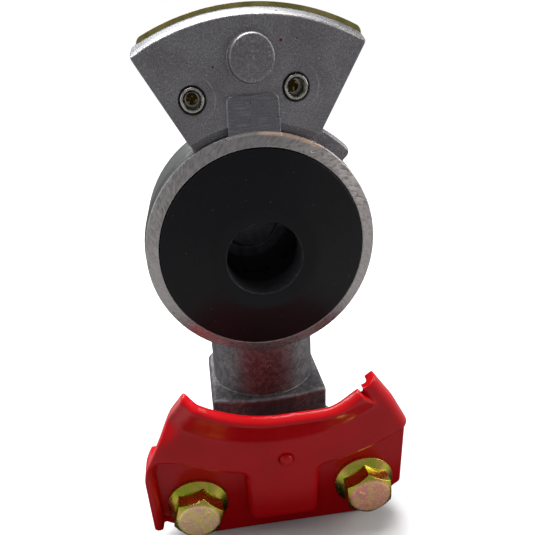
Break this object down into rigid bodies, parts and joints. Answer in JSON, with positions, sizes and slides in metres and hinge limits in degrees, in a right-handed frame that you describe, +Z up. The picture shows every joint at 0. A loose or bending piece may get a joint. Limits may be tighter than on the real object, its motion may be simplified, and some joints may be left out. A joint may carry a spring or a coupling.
{
  "type": "air brake palm coupling head",
  "caption": "Palm coupling head for a truck air brake line: cast body with fan flange, face gasket on a sprung sleeve valve, bolted red guide plate and threaded hose port.",
  "frame": {"origin": "centre of the hose port's mouth, on the port's axis", "axes": "+X to the right seen from the gasket side, +Y into the body away from the gasket, +Z up from the hose port to the fan flange"},
  "size_m": [0.0761, 0.0675, 0.1427],
  "materials": {
    "cast_aluminium": "as-cast, bead blasted, machined rim",
    "zinc_plated_steel": "yellow chromate over zinc",
    "red_paint": "gloss red powder coat",
    "rubber": "matt black",
    "turned_aluminium": "turned",
    "brass": "turned",
    "black_nylon": "moulded",
    "spring_steel": "oiled spring steel"
  },
  "bodies": {
    "head": {"body_casting": "cast_aluminium", "wear_plate": "zinc_plated_steel", "rivet_left": "zinc_plated_steel", "rivet_right": "zinc_plated_steel", "guide_bolt_left": "zinc_plated_steel", "guide_bolt_right": "zinc_plated_steel", "guide_plate": "red_paint", "detent_pin": "red_paint", "bush_o_ring": "rubber", "sleeve_o_ring": "rubber", "rear_o_ring": "rubber", "seat_bush": "brass", "spring_washer": "spring_steel", "bush_snap_ring": "spring_steel"},
    "valve": {"gasket": "rubber", "gasket_carrier": "turned_aluminium", "valve_sleeve": "black_nylon", "carrier_clip": "spring_steel", "seat_seal": "rubber", "end_cap": "turned_aluminium", "cap_o_ring": "rubber", "cap_snap_ring": "spring_steel", "return_spring": "spring_steel"}
  },
  "joints": [
    {"name": "valve_slide", "type": "slide", "parent": "head", "child": "valve", "axis": [0, 1, 0], "range_m": [0, 0.004], "stiffness_N_per_m": 5000, "springref_m": -0.006, "deforming": ["return_spring"]}
  ]
}
